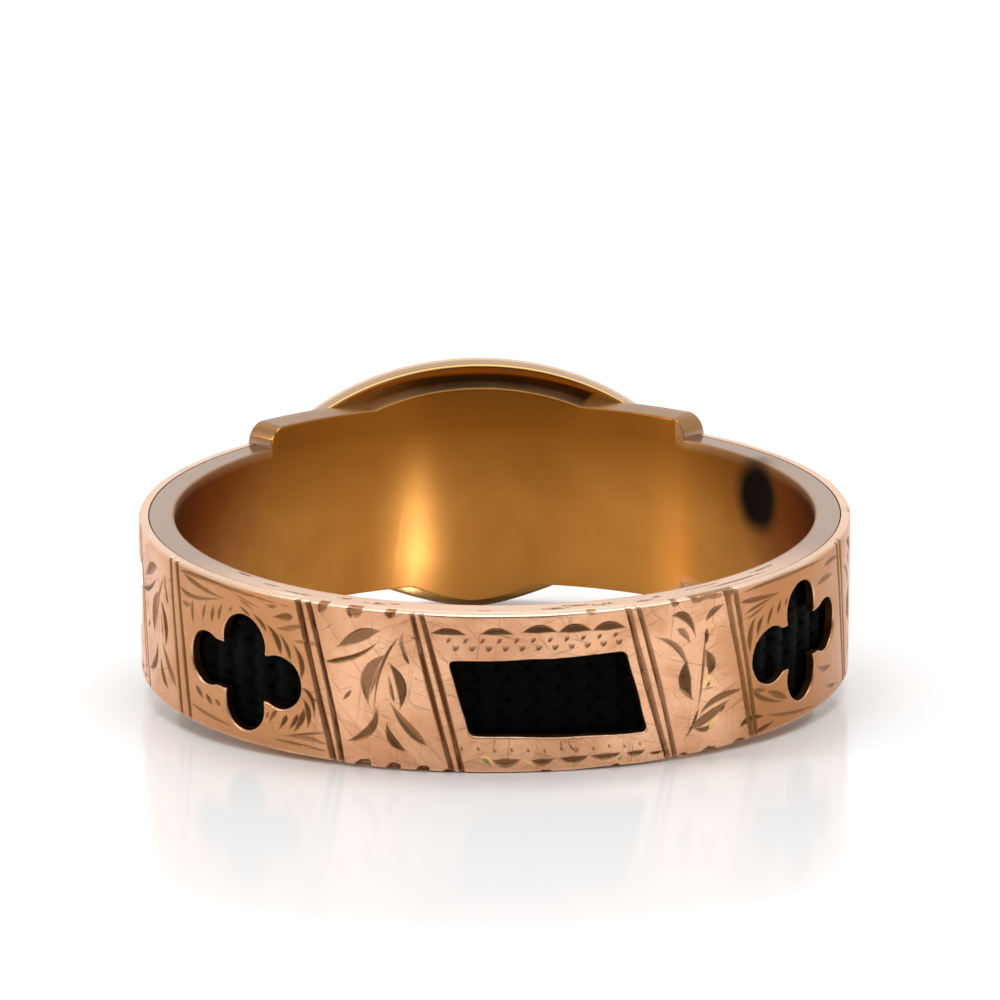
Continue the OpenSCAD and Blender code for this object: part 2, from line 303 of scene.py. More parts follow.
# Upper and lower scallops over and under the oblong window: start, end, height, rise, darkness
scallops = [
    (-1.78, -0.76, 1.74, 0.20, 0.7), (-0.40, 0.53, 1.76, 0.21, 0.55), (0.76, 1.74, 1.79, 0.25, 0.75),
    (1.76, 2.72, 1.76, 0.27, 0.8), (2.72, 3.70, 1.74, 0.28, 0.8),
    (-0.10, 0.72, -1.88, -0.26, 0.7), (0.98, 1.64, -1.90, -0.22, 0.7), (1.78, 2.62, -1.88, -0.22, 0.75),
    (2.66, 3.60, -1.88, -0.20, 0.7), (3.70, 4.30, -1.90, -0.18, 0.65), (4.40, 4.95, -2.0, -0.12, 0.6),
]
# Painted highlights: rows with a darkness below 0 lighten the gold where facets catch the light.
glints = [  # bright facets between the lower scallops
    (-0.42, -1.85, -0.22, -1.90, -0.06, -2.14, 0.20, 0.4, 0.3, 0.04, -1.0),
    (0.74, -1.88, 0.95, -2.02, 1.14, -2.20, 0.12, 0.5, 0.3, 0.03, -0.9),
    (2.02, -2.00, 2.12, -2.08, 2.24, -2.14, 0.10, 0.5, 0.3, 0.03, -0.7),
    (3.42, -2.14, 3.52, -2.02, 3.64, -1.88, 0.12, 0.5, 0.3, 0.03, -0.8),
    (4.72, -2.16, 4.80, -2.06, 4.86, -1.96, 0.16, 0.5, 0.3, 0.03, -0.9),
    (1.83, -1.37, 1.84, -1.56, 1.98, -1.76, 0.035, 0.3, 0.0, 0.03, 1.0),
    (2.04, -1.40, 2.12, -1.60, 2.36, -1.80, 0.045, 0.6, 0.0, 0.03, 1.0),
]


# Moves rows of cuts along the band.
def shifted(rows, by):
    return [(r[0] + by, r[1], r[2] + by, r[3], r[4] + by, *r[5:]) for r in rows]


fanCount = 11
fanRows = [  # punched fans above the window: first place, step, height, leans of a fan's strokes
    (-1.30, 0.465, 1.56, (0.02, 0.1)),
    (-1.08, 0.457, 1.33, (-0.08, 0.0, 0.09)),
]
dotCount = 12
panelMiddle = 1.5  # the oblong panel that the tables chart


# Rows of cuts for one oblong panel, whose middle stands at a place along.
def oblongPanelCuts(middle):
    shift = middle - panelMiddle
    rows = []
    for start, end, level, rise, dark in scallops:
        half = (start + end) / 2
        side = np.sign(rise)
        rows.append((start + shift, level, half + shift, level + rise * 0.36, end + shift,
                     level - 0.02 * side, abs(rise) * 0.95, 0.45, 0.45 * side, 0.07, dark))
    for row, (first, step, level, leans) in enumerate(fanRows):
        for k in range(fanCount):
            start = first + step * k + shift
            dark = 0.45 + 0.1 * math.sin(3.1 * k + row)
            rows += [(start - 0.03, level - 0.08, start + lean * 0.6, level + 0.02, start + lean,
                      level + 0.08, 0.07, 0.45, 0.0, 0.03, dark) for lean in leans]
    for k in range(dotCount):  # punched dots under it
        start, level = -0.95 + 0.46 * k + shift, -1.58 - 0.012 * k + 0.03 * math.sin(2.3 * k)
        rows.append((start, level + 0.06, start + 0.02, level, start + 0.06, level - 0.05,
                     0.07, 0.5, 0.0, 0.025, 0.5))
    return rows + shifted(glints, shift)


cuts = (leafCuts + rightLeafCuts + leftFoilCuts + rightFoilCuts + oblongPanelCuts(panelMiddle)
        + shifted(leafCuts, -9.15) + shifted(leafCuts, -18.6) + shifted(rightLeafCuts, 9.0)
        + oblongPanelCuts(-17.14) + oblongPanelCuts(19.8) + shifted(leafCuts, 27.4))

# Chips in the edges: along, edge (1 top, -1 bottom), length, reach down the face, depth
chips = [
    (-4.97, 1, 0.34, 0.22, 0.05), (-3.98, 1, 0.50, 0.26, 0.06), (-2.92, 1, 0.30, 0.16, 0.09),
    (5.95, 1, 0.50, 0.13, 0.09), (6.55, 1, 0.70, 0.12, 0.08), (7.05, 1, 0.46, 0.14, 0.08),
    (5.2, 1, 0.24, 0.13, 0.05), (-3.75, -1, 0.50, 0.20, 0.12), (-2.85, -1, 0.40, 0.19, 0.11),
    (-2.02, -1, 0.36, 0.18, 0.11), (-1.3, -1, 0.3, 0.1, 0.08), (5.5, -1, 0.30, 0.10, 0.08),
    (6.4, -1, 0.45, 0.12, 0.09), (7.5, -1, 0.5, 0.12, 0.09), (2.7, 1, 0.35, 0.07, 0.04),
    (1.4, -1, 0.3, 0.07, 0.06), (3.4, -1, 0.3, 0.08, 0.06),
]


# Depth, amount and darkness of the cuts at each point. A cut is a parabola through three points.
# Its half width swells as a sine to its widest place, and its depth falls straight from a deepest
# line to both edges. A width that stays the same is given by a widest place of 0.
def carve(along, height, rows):
    depth, amount, dark = np.zeros_like(along), np.zeros_like(along), np.zeros_like(along)
    steps, softEdge = 24, 0.022
    t = np.linspace(0, 1, steps + 1)
    for a0, h0, am, hm, a1, h1, width, widest, side, deep, darkness in rows:
        ca, ch = 2 * am - (a0 + a1) / 2, 2 * hm - (h0 + h1) / 2
        pa = (1 - t) ** 2 * a0 + 2 * t * (1 - t) * ca + t ** 2 * a1
        ph = (1 - t) ** 2 * h0 + 2 * t * (1 - t) * ch + t ** 2 * h1
        near = np.flatnonzero((along > pa.min() - width) & (along < pa.max() + width)
                              & (height > ph.min() - width) & (height < ph.max() + width))
        if not len(near):
            continue
        da, dh = np.diff(pa), np.diff(ph)
        ra, rh = along[near, None] - pa[:-1], height[near, None] - ph[:-1]
        share = np.clip((ra * da + rh * dh) / (da * da + dh * dh), 0, 1)
        oa, oh = ra - share * da, rh - share * dh
        k = (oa * oa + oh * oh).argmin(1)
        row = np.arange(len(near))
        oa, oh, place = oa[row, k], oh[row, k], (k + share[row, k]) / steps
        if widest:
            swell = np.where(place < widest, place / widest, (1 - place) / (1 - widest))
            swell = np.maximum(np.sin(math.pi / 2 * swell), 0.1)
        else:
            swell = 1 + 0.1 * np.sin(place * 9 + a0)
        half = width / 2 * swell
        across = np.sign(da[k] * oh - dh[k] * oa) * np.hypot(oa, oh) / half
        slope = np.where(across < side, (1 + across) / (1 + side), (1 - across) / (1 - side))
        here = deep * np.clip(slope, 0, 1) * swell
        inside = np.clip((1 - np.abs(across)) * half / softEdge, 0, 1)
        deeper = here > depth[near]
        depth[near] = np.maximum(depth[near], here)
        dark[near] = np.where(deeper | (amount[near] == 0), darkness, dark[near])
        amount[near] = np.maximum(amount[near], inside)
    return depth, amount, dark


# Windows

oblongWindows = [  # corners from the top left, clockwise, as (along, height)
    ((-1.30, 0.93), (3.72, 1.03), (4.38, -1.38), (-0.72, -1.20)),
    ((-19.36, 1.13), (-14.36, 1.13), (-14.92, -1.13), (-19.92, -1.13)),
    ((17.02, 1.13), (22.02, 1.13), (22.58, -1.13), (17.58, -1.13)),
]
quatrefoilWindows = [  # lobes (along, height, radius): left, right, top, bottom; half width of bars
    ((-9.36, -0.18, 0.78), (-6.46, -0.27, 0.77), (-7.77, 0.62, 0.83), (-7.77, -1.16, 0.77), 0.67),
    ((8.84, -0.02, 0.83), (11.87, 0.10, 0.77), (10.31, 1.04, 0.77), (10.38, -0.96, 0.77), 0.64),
]
windowCorner = 0.17
notchEase = 0.06  # how softly the lobes of a quatrefoil run into each other


# Signed distance to an oblong: how far outside its four sides a point lies, rounded at the corners.
def oblongDistance(along, height, corners):
    c = np.array(corners)
    n = np.roll(c, -1, 0) - c
    n = np.stack([-n[:, 1], n[:, 0]], 1) / np.linalg.norm(n, axis=1)[:, None]
    d = [(along - p[0]) * q[0] + (height - p[1]) * q[1] + windowCorner for p, q in zip(c, n)]
    outside = np.sqrt(sum(np.clip(x, 0, None) ** 2 for x in d))
    inside = np.minimum(np.max(d, 0), 0)
    return outside + inside - windowCorner + 0.012 * waves(along, height, 1.1, 5)


# Signed distance to a quatrefoil: the least of four circles and two bars, with eased notches.
def quatrefoilDistance(along, height, foil):
    left, right, top, bottom, bar = foil
    parts = [np.hypot(along - a, height - h) - r for a, h, r in (left, right, top, bottom)]
    for (a0, h0, _), (a1, h1, _) in ((left, right), (bottom, top)):
        da, dh = a1 - a0, h1 - h0
        length = math.hypot(da, dh)
        s = ((along - a0) * da + (height - h0) * dh) / length
        o = np.abs((along - a0) * dh - (height - h0) * da) / length
        parts.append(np.maximum(o - bar, np.abs(s - length / 2) - length / 2))
    total = parts[0]
    for part in parts[1:]:
        mix = np.clip(0.5 + 0.5 * (part - total) / notchEase, 0, 1)
        total = part * (1 - mix) + total * mix - notchEase * mix * (1 - mix)
    return total + 0.010 * waves(along, height, 0.9, 6)


# Signed distance to the nearest window, positive on the metal.
def windowDistance(along, height):
    parts = [oblongDistance(along, height, c) for c in oblongWindows]
    parts += [quatrefoilDistance(along, height, f) for f in quatrefoilWindows]
    return np.min(parts, 0)


# Materials

# Feeds a socket: from another socket by a link, or with a value.
def feed(tree, socket, value):
    if isinstance(value, bpy.types.NodeSocket):
        tree.links.new(value, socket)
    else:
        socket.default_value = value


# Shader node of a tree, with its inputs fed by name or number.
def addNode(tree, kind, inputs=None, **settings):
    made = tree.nodes.new("ShaderNode" + kind)
    for key, value in settings.items():
        setattr(made, key, value)
    for key, value in (inputs or {}).items():
        feed(tree, made.inputs[key], value)
    return made


# Math on two values, which may be sockets or numbers.
def mathNode(tree, operation, a, b=0.0, clamp=False):
    return addNode(tree, "Math", {0: a, 1: b}, operation=operation, use_clamp=clamp).outputs[0]


def times(tree, a, b, clamp=False):
    return mathNode(tree, "MULTIPLY", a, b, clamp)


def plus(tree, a, b, clamp=False):
    return mathNode(tree, "ADD", a, b, clamp)


# Length of a vector, taken from the middle of an oval and measured in the oval's half sizes.
def ovalDistance(tree, vector, middle, size):
    apart = addNode(tree, "VectorMath", {0: vector, 1: middle}, operation="SUBTRACT").outputs[0]
    share = addNode(tree, "VectorMath", {0: apart, 1: size}, operation="DIVIDE").outputs[0]
    return addNode(tree, "VectorMath", {0: share}, operation="LENGTH").outputs["Value"]


def partsOf(tree, vector):
    return addNode(tree, "SeparateXYZ", {0: vector}).outputs


def readAttribute(tree, name):
    return addNode(tree, "Attribute", attribute_name=name).outputs["Vector"]


# Mix of two colours by a factor; each colour may be a socket or a value.
def mixColors(tree, factor, a, b):
    made = addNode(tree, "Mix", data_type="RGBA")
    for name, value in (("Factor_Float", factor), ("A_Color", a), ("B_Color", b)):
        socket = next(s for s in made.inputs if s.identifier == name)
        feed(tree, socket, (*value, 1.0) if isinstance(value, tuple) else value)
    return next(s for s in made.outputs if s.identifier == "Result_Color")


# Range of a value stretched to 0 to 1 or to the numbers given.
def mapRange(tree, value, low, high, toLow=0.0, toHigh=1.0, smooth=False):
    ends = {"Value": value, "From Min": low, "From Max": high, "To Min": toLow, "To Max": toHigh}
    kind = "SMOOTHSTEP" if smooth else "LINEAR"
    return addNode(tree, "MapRange", ends, interpolation_type=kind).outputs["Result"]


def addNoise(tree, vector, scale, detail, roughness, distortion=0.0):
    return addNode(tree, "TexNoise", {"Vector": vector, "Scale": scale, "Detail": detail,
                                      "Roughness": roughness, "Distortion": distortion}).outputs["Fac"]


def addBump(tree, shader, height, strength, distance):
    bump = addNode(tree, "Bump", {"Strength": strength, "Distance": distance, "Height": height})
    feed(tree, shader.inputs["Normal"], bump.outputs["Normal"])


# New group with its inputs and outputs: (name, socket kind, value).
def newGroup(name, inputs, outputs):
    tree = bpy.data.node_groups.new(name, "ShaderNodeTree")
    for label, kind, value in inputs:
        socket = tree.interface.new_socket(name=label, in_out="INPUT", socket_type=kind)
        if value is not None:
            socket.default_value = value
    for label, kind in outputs:
        tree.interface.new_socket(name=label, in_out="OUTPUT", socket_type=kind)
    return tree, tree.nodes.new("NodeGroupInput").outputs, tree.nodes.new("NodeGroupOutput").inputs


scratchRuns = [  # turn of a run of scratches, then noise cells a millimetre along and across it
    (0.35, 0.55, 9.0), (-0.9, 0.4, 12.0), (1.45, 0.35, 10.0), (-0.3, 0.45, 14.0),
]


# Fine scratches: noise drawn out into lines, each run in its own direction, of which only the
# crests are kept.
def makeScratches():
    tree, given, made = newGroup(
        "fineScratches",
        [("Coordinates", "NodeSocketVector", None), ("Fineness", "NodeSocketFloat", 1.0),
         ("Amount", "NodeSocketFloat", 0.5)],
        [("Lines", "NodeSocketFloat"), ("Height", "NodeSocketFloat")])
    total = None
    for turn, onward, across in scratchRuns:
        turned = addNode(tree, "Mapping", {"Vector": given["Coordinates"], "Rotation": (0, 0, turn),
                                           "Scale": (1 / onward, 1 / across, 1.0)},
                         vector_type="TEXTURE").outputs["Vector"]
        noise = addNoise(tree, turned, given["Fineness"], 2.0, 0.6, 0.15)
        line = mapRange(tree, noise, 0.62, 0.74)
        total = line if total is None else mathNode(tree, "MAXIMUM", total, line)
    lines = times(tree, total, given["Amount"], clamp=True)
    feed(tree, made["Lines"], lines)
    feed(tree, made["Height"], times(tree, lines, -1.0))
    return tree


# Old gold: base colour with slow patches of a browner tone, and specks of dirt.
def makePatches():
    tree, given, made = newGroup(
        "oldGoldPatches",
        [("Coordinates", "NodeSocketVector", None), ("Scale", "NodeSocketFloat", 1.0),
         ("Gold", "NodeSocketColor", (0.8, 0.5, 0.3, 1)),
         ("Brown", "NodeSocketColor", (0.5, 0.28, 0.15, 1)), ("Amount", "NodeSocketFloat", 0.5)],
        [("Color", "NodeSocketColor"), ("Patches", "NodeSocketFloat"),
         ("Specks", "NodeSocketFloat")])
    slow = addNoise(tree, given["Coordinates"], given["Scale"], 3.0, 0.55, 0.4)
    fine = addNoise(tree, given["Coordinates"], 9.0, 4.0, 0.7)
    patches = mapRange(tree, slow, 0.38, 0.68, smooth=True)
    share = times(tree, patches, given["Amount"], clamp=True)
    feed(tree, made["Color"], mixColors(tree, share, given["Gold"], given["Brown"]))
    feed(tree, made["Patches"], patches)
    feed(tree, made["Specks"], mapRange(tree, fine, 0.60, 0.72))
    return tree


scratchGroup = makeScratches()
patchGroup = makePatches()


def addGroup(tree, group, vector, **values):
    made = tree.nodes.new("ShaderNodeGroup")
    made.node_tree = group
    for name, value in {"Coordinates": vector, **values}.items():
        feed(tree, made.inputs[name], value)
    return made.outputs


def newMaterial(name):
    material = bpy.data.materials.new(name)
    material.use_nodes = True
    tree = material.node_tree
    tree.nodes.clear()
    shader = addNode(tree, "BsdfPrincipled")
    addNode(tree, "OutputMaterial", {"Surface": shader.outputs["BSDF"]})
    return material, tree, shader


# The metal beyond a radius: the rims of the sleeve, or the face of the shield. With a colour for
# the seat's top, the bore is browner and darker higher up as painted shade, and the rims at the sides
# and the top of the seat are darkened by painted shade.
def addOuter(tree, look, flat, color, rough):
    level = addNode(tree, "VectorMath", {0: flat, 1: (1, 0, 1)}, operation="MULTIPLY").outputs[0]
    radius = addNode(tree, "VectorMath", {0: level}, operation="LENGTH").outputs["Value"]
    outside = mapRange(tree, radius, look["outerFrom"], look["outerFrom"] + 0.1)
    outer = look["outer"]
    if "paintedSeatTopShade" in look:
        parts = partsOf(tree, flat)
        # Painted shade: the bore turns a darker brown higher up.
        upper = mapRange(tree, parts["Y"], -0.2, 2.2, 0.0, 0.95)
        color = mixColors(tree, upper, color, look["upper"])
        # Painted shade: the rims darken towards the sides.
        side = mapRange(tree, parts["Z"], -7.8, -3.5, smooth=True)
        outer = mixColors(tree, side, outer, look["paintedShadeSideRim"])
        # Painted shade: the top of the seat is darkened.
        outer = mixColors(tree, mapRange(tree, parts["Y"], 2.32, 2.5), outer, look["paintedSeatTopShade"])
    color = mixColors(tree, outside, color, outer)
    return color, plus(tree, rough, times(tree, outside, look["outerRougher"]))


# Painted shade makes the panels of the two quatrefoils darker and browner. Both lie as far from
# foilMiddle.
def addFoilPanelShade(tree, look, flat, color):
    along = partsOf(tree, flat)["X"]
    away = mathNode(tree, "ABSOLUTE", mathNode(tree, "SUBTRACT", along, look["foilMiddle"]))
    foil = times(tree, mapRange(tree, away, 5.2, 7.4, smooth=True),
                 mapRange(tree, away, 14.0, 11.5, 0.35, 1.0, smooth=True))
    foil = times(tree, foil, mapRange(tree, along, 0.0, 10.0, 0.8, 1.0))
    return mixColors(tree, foil, color, look["foilPanelShade"])


# Rose gold with its wear, dirt in the cuts and scratches, painted highlights on bright facets and
# worn shell edges, painted shade on the window walls and the quatrefoil panels, and on the body a
# browner bore and an oval of painted dark reflection.
def makeGold(name, look):
    material, tree, shader = newMaterial(name)
    flat = readAttribute(tree, "flat")
    amount, darkness, wearAndSheen = partsOf(tree, readAttribute(tree, "cut"))
    patches = addGroup(tree, patchGroup, flat, Scale=look["patchScale"], Gold=(*look["gold"], 1),
                       Brown=(*look["brown"], 1), Amount=look["patchAmount"])
    scratches = addGroup(tree, scratchGroup, flat, Fineness=look["scratchFineness"],
                         Amount=look["scratchAmount"])
    lines, specks = scratches["Lines"], patches["Specks"]
    color = patches["Color"]
    rough = mapRange(tree, patches["Patches"], 0.0, 1.0, look["roughLow"], look["roughHigh"])
    if "outer" in look:
        color, rough = addOuter(tree, look, flat, color, rough)
    color = mixColors(tree, times(tree, lines, look["scratchDark"]), color, look["dirt"])
    color = mixColors(tree, times(tree, specks, look["speckDark"]), color, look["dirt"])
    # Painted shade on the panels of the quatrefoils.
    if "foilPanelShade" in look:
        color = addFoilPanelShade(tree, look, flat, color)
    # Dirt in the cuts and painted shade on the window walls darken the gold towards the cut colours.
    dirtAndShade = times(tree, amount, times(tree, darkness, 1.0, clamp=True), clamp=True)
    dirtAndShade = times(tree, dirtAndShade, mapRange(tree, specks, 0.0, 1.0, 0.66, 1.0), clamp=True)
    color = mixColors(tree, mathNode(tree, "POWER", dirtAndShade, 0.35), color, look["cutColor"])
    color = mixColors(tree, mapRange(tree, dirtAndShade, 0.4, 0.9), color, look["cutDeep"])
    # Painted highlight: cuts with a darkness below 0 are lightened towards the glint colour.
    bright = times(tree, amount, times(tree, darkness, -1.0, clamp=True), clamp=True)
    color = mixColors(tree, bright, color, look["glint"])
    # Wear; on the shell its pale colour also paints a highlight along the edges.
    color = mixColors(tree, wearAndSheen, color, look["wornAndSheen"])
    rough = plus(tree, rough, times(tree, lines, 0.1))
    rough = plus(tree, rough, times(tree, wearAndSheen, look["wornRough"]))
    rough = plus(tree, rough, times(tree, dirtAndShade, 0.2), clamp=True)
    # Painted dark reflection: a near-black oval on the bore.
    if "paintedDarkReflection" in look:
        paintedDarkReflection = look["paintedDarkReflection"]
        ragged = plus(tree, ovalDistance(tree, flat, paintedDarkReflection["place"], paintedDarkReflection["size"]),
                      times(tree, patches["Patches"], 0.25))
        spot = mapRange(tree, ragged, 1.3, 0.7, smooth=True)
        color = mixColors(tree, spot, color, paintedDarkReflection["color"])
        rough = plus(tree, rough, times(tree, spot, 0.3), clamp=True)
    grain = addNoise(tree, flat, look["grainScale"], 3.0, 0.6)
    height = plus(tree, scratches["Height"], times(tree, grain, look["grain"]))
    addBump(tree, shader, height, look["bump"], look["bumpDistance"])
    for label, value in (("Base Color", color), ("Roughness", rough), ("Metallic", 1.0),
                         ("Anisotropic", look["anisotropy"]),
                         ("Anisotropic Rotation", 0.25)):  # polished round and round
        feed(tree, shader.inputs[label], value)
    return material


# Place of the oval of painted dark reflection on the bore.
paintedDarkReflectionRadius = band["boreRadius"]
paintedDarkReflectionAngle = 21.95 / band["outerRadius"] - math.pi / 2 - math.radians(band["viewTurn"])
shellLook = {
    "gold": (0.93, 0.52, 0.31), "brown": (0.72, 0.34, 0.17), "dirt": (0.22, 0.10, 0.04),
    # the foil panel colour is painted shade on the quatrefoil panels
    "foilPanelShade": (0.50, 0.21, 0.075), "foilMiddle": 1.27,
    "cutColor": (0.17, 0.07, 0.018), "cutDeep": (0.045, 0.018, 0.005),
    # the first colour on the next line paints highlights on bright facets; the second is wear with a
    # painted highlight on the shell's edges
    "glint": (1.0, 0.66, 0.26), "wornAndSheen": (0.98, 0.72, 0.54),
    "patchScale": 0.55, "patchAmount": 0.8, "scratchFineness": 1.5, "scratchAmount": 0.8,
    "scratchDark": 0.6, "speckDark": 0.35, "roughLow": 0.27, "roughHigh": 0.37, "wornRough": 0.0,
    "grainScale": 14.0, "grain": 0.7, "bump": 0.45, "bumpDistance": 0.00001, "anisotropy": 0.0,
}
bodyLook = {
    # the third colour on the next line is painted shade for the bore higher up
    "gold": (0.58, 0.26, 0.05), "brown": (0.44, 0.175, 0.028), "upper": (0.34, 0.125, 0.014),
    "dirt": (0.30, 0.14, 0.04), "outer": (0.88, 0.57, 0.40),
    "outerFrom": band["boreRadius"] + 0.02, "outerRougher": -0.12,
    # the two colours on the next line are painted shade on the rims at the sides and on the seat's top
    "paintedShadeSideRim": (0.42, 0.28, 0.20), "paintedSeatTopShade": (0.38, 0.195, 0.08),
    "cutColor": (0.10, 0.06, 0.04), "cutDeep": (0.03, 0.02, 0.015),
    "glint": (1.0, 0.88, 0.66), "wornAndSheen": (0.60, 0.36, 0.20),
    "patchScale": 0.22, "patchAmount": 0.7, "scratchFineness": 0.6, "scratchAmount": 0.35,
    "scratchDark": 0.15, "speckDark": 0.1, "roughLow": 0.30, "roughHigh": 0.36, "wornRough": 0.4,
    "grainScale": 6.0, "grain": 0.3, "bump": 0.12, "bumpDistance": 0.00001, "anisotropy": 0.9,
    # an oval of painted dark reflection on the bore, near black
    "paintedDarkReflection": {"place": (paintedDarkReflectionRadius * math.cos(paintedDarkReflectionAngle), 1.25, paintedDarkReflectionRadius * math.sin(paintedDarkReflectionAngle)),
              "size": (1.0, 1.25, 1.3), "color": (0.012, 0.007, 0.004)},
}
shieldLook = {
    **shellLook, "outer": (0.86, 0.52, 0.30), "outerFrom": 10.8, "outerRougher": 0.09,
    "gold": (0.48, 0.255, 0.07), "brown": (0.42, 0.21, 0.05), "foilPanelShade": (0.48, 0.255, 0.07),
    "wornAndSheen": (0.60, 0.38, 0.18), "patchScale": 0.3, "patchAmount": 0.6, "scratchAmount": 0.3,
    "scratchDark": 0.15, "speckDark": 0.0, "roughLow": 0.10, "roughHigh": 0.15,
    "wornRough": 0.6, "grainScale": 5.0, "grain": 0.3, "bump": 0.08,
}
shellGold = makeGold("engravedRoseGold", shellLook)
bodyGold = makeGold("roseGold", bodyLook)
shieldGold = makeGold("polishedRoseGold", shieldLook)


# Black-brown hair: fine lines that follow each strand, with browner patches.
def makeHair():
    material, tree, shader = newMaterial("darkHair")
    flat = readAttribute(tree, "flat")
    drawnOut = addNode(tree, "Mapping", {"Vector": flat, "Scale": (1.2, 26.0, 3.0)}).outputs["Vector"]
    lines = addNoise(tree, drawnOut, 1.0, 3.0, 0.65, 0.1)
    patches = addNoise(tree, flat, 0.9, 3.0, 0.6)
    brown = times(tree, mapRange(tree, lines, 0.5, 0.75), mapRange(tree, patches, 0.5, 0.75))
    color = mixColors(tree, brown, (0.0016, 0.0014, 0.0012), (0.03, 0.016, 0.008))
    feed(tree, shader.inputs["Base Color"], color)
    feed(tree, shader.inputs["Roughness"], mapRange(tree, lines, 0.3, 0.7, 0.45, 0.65))
    feed(tree, shader.inputs["Specular IOR Level"], 0.04)
    addBump(tree, shader, lines, 0.6, 0.00002)
    return material


hairMaterial = makeHair()
print("materials made")


# Pierced and engraved shell

# Depth of the chips at each point: half an ellipse against the edge, with a ragged outline.
def chipDepth(along, height):
    total = np.zeros_like(along)
    ragged = 0.35 * waves(along, height, 0.25, 21)
    for place, edge, length, reach, depth in chips:
        e = (band["halfWidth"] - edge * height) / reach
        a = (along - place) / (length / 2)
        total = np.maximum(total, depth * np.clip(1.15 - a * a - e * e + ragged, 0, 1))
    return total


shell = {
    "grooveDepth": 0.085, "grooveDark": 0.62, "grooveSide": -0.3,
    "snapReach": 0.72,      # points this near a window's outline, in cells, move onto it
    "wallRing": 0.025,      # the ring of points in each wall lies this far under the outer face
    "paintedWallShade": 0.03,       # painted shade darkens the walls within this distance of a window's outline
    "windowWearAndSheen": 0.045,    # reach of the worn line round the windows, made brighter by a painted highlight
    "edgeWearAndSheen": 0.10,       # and of the one along the edges of the band
}
grooveRows = [(*row, 0, shell["grooveSide"], shell["grooveDepth"], shell["grooveDark"])
              for row in grooves]


# Moves the points near a window onto its outline, straight down the slope of the distance.
def snapToWindows(along, height, free, cell):
    step = 1e-3
    for _ in range(3):
        d = windowDistance(along, height)
        move = np.flatnonzero(free & (np.abs(d) < shell["snapReach"] * cell))
        da = (windowDistance(along[move] + step, height[move]) - d[move]) / step
        dh = (windowDistance(along[move], height[move] + step) - d[move]) / step
        size = np.maximum(da * da + dh * dh, 0.1)
        along[move] -= d[move] * da / size
        height[move] -= d[move] * dh / size


# One stretch of the shell between two lines across the band, as a closed shell. The outer face is
# a grid whose columns lean with the border lines, with the triangles inside the windows left out.
def makeStretch(name, leftLine, rightLine, cell):
    columns = round((rightLine[0] - leftLine[0]) / cell)
    rows = round(2 * band["halfWidth"] / cell)
    u, v = np.meshgrid(np.linspace(0, 1, columns + 1),
                       np.linspace(-1, 1, rows + 1) * band["halfWidth"], indexing="ij")
    lean = (1 - u) * leftLine[1] + u * rightLine[1]
    along = ((1 - u) * leftLine[0] + u * rightLine[0] - lean * v).ravel()
    height = v.ravel()
    column, row = (x.ravel() for x in np.indices(u.shape))
    free = (column > 0) & (column < columns) & (row > 0) & (row < rows)
    snapToWindows(along, height, free, cell)
    faces = gridTriangles(columns, rows)
    middle = windowDistance(along[faces].mean(1), height[faces].mean(1))
    faces = faces[middle > 0.06 * cell]
    d = np.maximum(windowDistance(along, height), 0)

    depth, amount, dark = carve(along, height, grooveRows + cuts)
    chip = chipDepth(along, height)
    edge = band["halfWidth"] - np.abs(height)
    edgeRound = band["edgeRound"] * (1 + 0.4 * waves(along, height, 1.6, 8))
    windowRound = band["windowRound"] * (1 + 0.35 * waves(along, height, 0.8, 9))
    drop = np.maximum(edgeDrop(edge, edgeRound), edgeDrop(d, windowRound))
    uneven = band["unevenness"] * (1 + waves(along, height, 3.1, 3)) / 2
    depth = np.maximum(depth, chip) + drop + uneven
    # Wear with a painted highlight: a pale line round the windows and along the band's edges.
    wearAndSheen = np.clip(1 - d / shell["windowWearAndSheen"], 0, 1) * 0.8 * (amount < 0.3)
    wearAndSheen = wearAndSheen * (0.6 + 0.4 * waves(along, height, 0.9, 14))
    wearAndSheen = np.maximum(wearAndSheen, np.clip(1 - edge / shell["edgeWearAndSheen"], 0, 1) * 0.7 * (chip < 0.02))
    chipped = np.clip(chip / 0.03, 0, 1)
    dark = np.where(chipped > amount, 0.45, dark)
    amount = np.maximum(amount, chipped)

    allFaces = closeShell(faces, column, row, rows, rings=1)
    outer = band["outerRadius"] - depth
    levels = (outer, np.full(len(along), band["shellInner"]), outer - shell["wallRing"])
    points = np.concatenate([aroundRing(along, height, level) for level in levels])
    flat = np.concatenate([np.stack([along, height, level], 1) for level in levels])
    face = np.stack([amount, dark, wearAndSheen], 1)
    # Painted shade: near a window's outline the walls get full cut and darkness, so they turn near
    # black.
    walls = np.where((d < shell["paintedWallShade"])[:, None], (1.0, 1.0, 0.0), face)
    cut = np.concatenate([face, walls, walls])
    kept, allFaces = np.unique(allFaces, return_inverse=True)
    addPiece(name, points[kept], allFaces.reshape(-1, 3), flat[kept], cut[kept], shellGold,
             "pierced_shell", 62)


shellEnd = head["seatHalfAngle"] + math.degrees(math.asin(band["fitGap"] / band["outerRadius"]))
coarse = 1.0
stretches = [  # name, left line and right line as (along, lean), cell
    ("shell_far_left", (alongAt(90 + shellEnd), 0.0), (-14.225, 0.25), 0.055),
    ("shell_left", (-14.225, 0.25), (-4.83, 0.235), 0.028),
    ("shell_back", (-4.83, 0.235), (4.35, 0.275), 0.0245),
    ("shell_right", (4.35, 0.275), (13.325, 0.25), 0.028),
    ("shell_far_right", (13.325, 0.25), (alongAt(450 - shellEnd), 0.0), 0.055),
]
for name, leftLine, rightLine, cell in stretches:
    makeStretch(name, leftLine, rightLine, cell * coarse)
print("shell made")


# Sleeve, seat and shield

